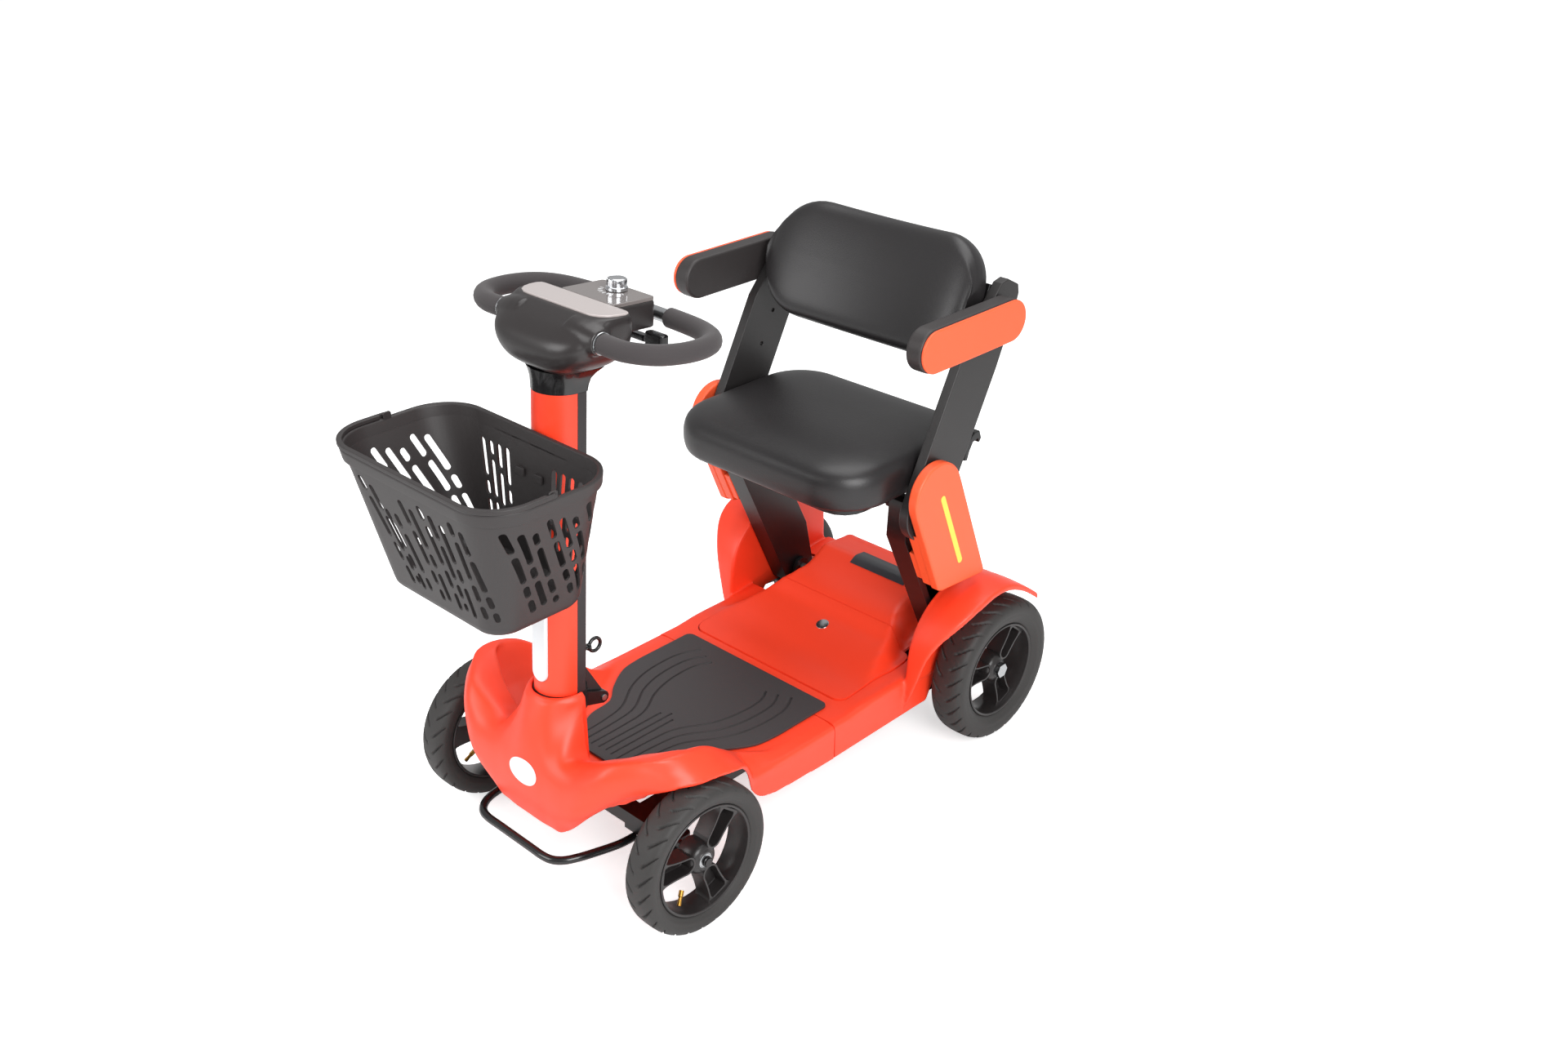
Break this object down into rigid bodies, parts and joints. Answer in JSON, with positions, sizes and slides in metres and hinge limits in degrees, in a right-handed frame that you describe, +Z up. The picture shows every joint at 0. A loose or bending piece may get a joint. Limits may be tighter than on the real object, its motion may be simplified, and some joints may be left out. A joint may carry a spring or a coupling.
{
  "type": "mobility scooter",
  "caption": "Folding four-wheel mobility scooter with a tiller, steering loops, front basket, padded seat, backrest and flip-up armrests.",
  "frame": {"origin": "on the floor under the middle of the whole scooter", "axes": "+Z up, +X to the sitter's left, -Y to the front, where the sitter looks"},
  "size_m": [0.524, 0.979, 0.8236],
  "materials": {
    "battery_case": "matte",
    "black_steel": "black powder coat",
    "bright_steel": "zinc-plated",
    "chrome": "polished",
    "column_alloy": "dark anodised",
    "dark_grey_plastic": "fine-textured moulded plastic",
    "foam_grip": "closed-cell foam",
    "gloss_black": "gloss black",
    "grey_painted_metal": "grey powder coat",
    "mat_rubber": "grooved",
    "motor_case": "cast",
    "orange_plastic": "satin moulded plastic",
    "panel_grey": "gloss",
    "red_plastic": "satin moulded plastic",
    "seat_vinyl": "grained vinyl",
    "tyre_rubber": "moulded tread",
    "white_lens": "clear gloss"
  },
  "bodies": {
    "chassis": {"chassis_frame": "black_steel", "front_shell": "red_plastic", "rear_shell": "red_plastic", "floor_mat": "mat_rubber", "bumper": "gloss_black", "battery_pack": "battery_case", "drive_motor_left": "motor_case", "drive_motor_right": "motor_case", "leg_pivot_shaft": "bright_steel"},
    "knuckle_left": {"knuckle_left": "black_steel"},
    "knuckle_right": {"knuckle_right": "black_steel"},
    "front_left_wheel": {"front_left_rim": "dark_grey_plastic", "front_left_tyre": "tyre_rubber", "front_left_bearing": "bright_steel"},
    "front_right_wheel": {"front_right_rim": "dark_grey_plastic", "front_right_tyre": "tyre_rubber", "front_right_bearing": "bright_steel"},
    "rear_left_wheel": {"rear_left_rim": "dark_grey_plastic", "rear_left_tyre": "tyre_rubber", "rear_left_shaft": "bright_steel"},
    "rear_right_wheel": {"rear_right_rim": "dark_grey_plastic", "rear_right_tyre": "tyre_rubber", "rear_right_shaft": "bright_steel"},
    "tie_rod": {"tie_rod": "bright_steel"},
    "stem": {"steering_stem": "black_steel"},
    "tiller": {"column_core": "column_alloy", "column_cover": "red_plastic", "column_light": "white_lens", "tiller_hinge_pin": "bright_steel", "neck_collar": "gloss_black", "head_shell": "dark_grey_plastic", "console_panel": "panel_grey", "handle_tube": "bright_steel", "grip_left": "foam_grip", "grip_right": "foam_grip", "basket_bracket": "dark_grey_plastic"},
    "latch_ring": {"latch_ring": "gloss_black"},
    "release_lever": {"fold_release_lever": "dark_grey_plastic"},
    "speed_dial": {"speed_dial": "chrome"},
    "throttle": {"throttle_lever": "gloss_black"},
    "basket": {"basket": "dark_grey_plastic"},
    "basket_handle": {"basket_handle": "dark_grey_plastic"},
    "battery_cover": {"battery_cover": "red_plastic"},
    "cover_lock": {"cover_lock": "chrome"},
    "legs": {"leg_left": "black_steel", "leg_right": "black_steel", "leg_cover_left": "orange_plastic", "leg_cover_right": "orange_plastic", "seat_pivot_shaft": "bright_steel"},
    "seat": {"seat_pan": "black_steel", "seat_cushion": "seat_vinyl"},
    "back": {"upright_left": "grey_painted_metal", "upright_right": "grey_painted_metal", "backrest_frame": "black_steel", "backrest_pad": "seat_vinyl"},
    "armrest_left": {"armrest_left": "dark_grey_plastic", "armrest_cap_left": "orange_plastic"},
    "armrest_right": {"armrest_right": "dark_grey_plastic", "armrest_cap_right": "orange_plastic"},
    "seat_latch": {"seat_latch": "black_steel"}
  },
  "joints": [
    {"name": "steering", "type": "hinge", "parent": "chassis", "child": "stem", "pos_m": [0, -0.3011, 0.085], "axis": [0, 0.0819, 0.9966], "range_deg": [-16, 16]},
    {"name": "knuckle_left_turn", "type": "hinge", "parent": "chassis", "child": "knuckle_left", "pos_m": [0.15, -0.252, 0.108], "axis": [0, 0.0819, 0.9966], "range_deg": [-16, 16]},
    {"name": "knuckle_right_turn", "type": "hinge", "parent": "chassis", "child": "knuckle_right", "pos_m": [-0.15, -0.252, 0.108], "axis": [0, 0.0819, 0.9966], "range_deg": [-16, 16]},
    {"name": "tie_rod_turn", "type": "hinge", "parent": "knuckle_left", "child": "tie_rod", "pos_m": [0.15, -0.20715, 0.10431], "axis": [0, 0.0819, 0.9966], "range_deg": [-16, 16]},
    {"name": "front_left_spin", "type": "hinge", "parent": "knuckle_left", "child": "front_left_wheel", "pos_m": [0.222, -0.252, 0.108], "axis": [1, 0, 0], "continuous": true},
    {"name": "front_right_spin", "type": "hinge", "parent": "knuckle_right", "child": "front_right_wheel", "pos_m": [-0.222, -0.252, 0.108], "axis": [1, 0, 0], "continuous": true},
    {"name": "rear_left_spin", "type": "hinge", "parent": "chassis", "child": "rear_left_wheel", "pos_m": [0.2253, 0.373, 0.1165], "axis": [1, 0, 0], "continuous": true},
    {"name": "rear_right_spin", "type": "hinge", "parent": "chassis", "child": "rear_right_wheel", "pos_m": [-0.2253, 0.373, 0.1165], "axis": [1, 0, 0], "continuous": true},
    {"name": "seat_fold", "type": "hinge", "parent": "chassis", "child": "legs", "pos_m": [0, 0.3355, 0.17], "axis": [1, 0, 0], "range_deg": [0, 50]},
    {"name": "seat_level", "type": "hinge", "parent": "legs", "child": "seat", "pos_m": [0, 0.2225, 0.432], "axis": [1, 0, 0], "range_deg": [-50, 0]},
    {"name": "backrest_fold", "type": "hinge", "parent": "legs", "child": "back", "pos_m": [0, 0.2225, 0.432], "axis": [-1, 0, 0], "range_deg": [0, 92]},
    {"name": "tiller_fold", "type": "hinge", "parent": "stem", "child": "tiller", "pos_m": [0, -0.22549, 0.24795], "axis": [-1, 0, 0], "range_deg": [0, 60]},
    {"name": "latch_ring_pull", "type": "slide", "parent": "tiller", "child": "latch_ring", "axis": [0, 0.9966, -0.0819], "range_m": [0, 0.006], "stiffness_N_per_m": 200},
    {"name": "release_lever_pull", "type": "hinge", "parent": "tiller", "child": "release_lever", "pos_m": [0, -0.2327, 0.6814], "axis": [1, 0, 0], "range_deg": [0, 15], "stiffness_Nm_per_rad": 0.3},
    {"name": "speed_dial_turn", "type": "hinge", "parent": "tiller", "child": "speed_dial", "pos_m": [0, -0.15046, 0.80668], "axis": [0, 0.0819, 0.9966], "range_deg": [0, 270]},
    {"name": "throttle_rock", "type": "hinge", "parent": "tiller", "child": "throttle", "pos_m": [0, -0.14788, 0.75269], "axis": [0, 0.0819, 0.9966], "range_deg": [-12, 12], "stiffness_Nm_per_rad": 0.3},
    {"name": "basket_lift", "type": "slide", "parent": "tiller", "child": "basket", "axis": [0, 0.0819, 0.9966], "range_m": [0, 0.037]},
    {"name": "basket_handle_swing", "type": "hinge", "parent": "basket", "child": "basket_handle", "pos_m": [0, -0.3945, 0.6641], "axis": [-1, 0, 0], "range_deg": [0, 110]},
    {"name": "battery_cover_swing", "type": "hinge", "parent": "chassis", "child": "battery_cover", "pos_m": [0, 0.1025, 0.143], "axis": [-1, 0, 0], "range_deg": [-75, 0]},
    {"name": "cover_lock_turn", "type": "hinge", "parent": "battery_cover", "child": "cover_lock", "pos_m": [0.012, 0.2205, 0.167], "axis": [0, -0.2873, 0.9578], "range_deg": [0, 90]},
    {"name": "armrest_left_flip", "type": "hinge", "parent": "back", "child": "armrest_left", "pos_m": [0, 0.3465, 0.69], "axis": [-1, 0, 0], "range_deg": [0, 110]},
    {"name": "armrest_right_flip", "type": "hinge", "parent": "back", "child": "armrest_right", "pos_m": [0, 0.3465, 0.69], "axis": [-1, 0, 0], "range_deg": [0, 110]},
    {"name": "seat_latch_press", "type": "hinge", "parent": "back", "child": "seat_latch", "pos_m": [0, 0.31855, 0.50532], "axis": [1, 0, 0], "range_deg": [0, 10], "stiffness_Nm_per_rad": 0.3}
  ],
  "couplings": [
    {"joint": "knuckle_left_turn", "follows": "steering", "ratio": 1},
    {"joint": "knuckle_right_turn", "follows": "steering", "ratio": 1},
    {"joint": "tie_rod_turn", "follows": "steering", "ratio": -1},
    {"joint": "seat_level", "follows": "seat_fold", "ratio": -1},
    {"joint": "backrest_fold", "follows": "seat_fold", "ratio": 1.84},
    {"joint": "tiller_fold", "follows": "seat_fold", "ratio": 1.2}
  ]
}
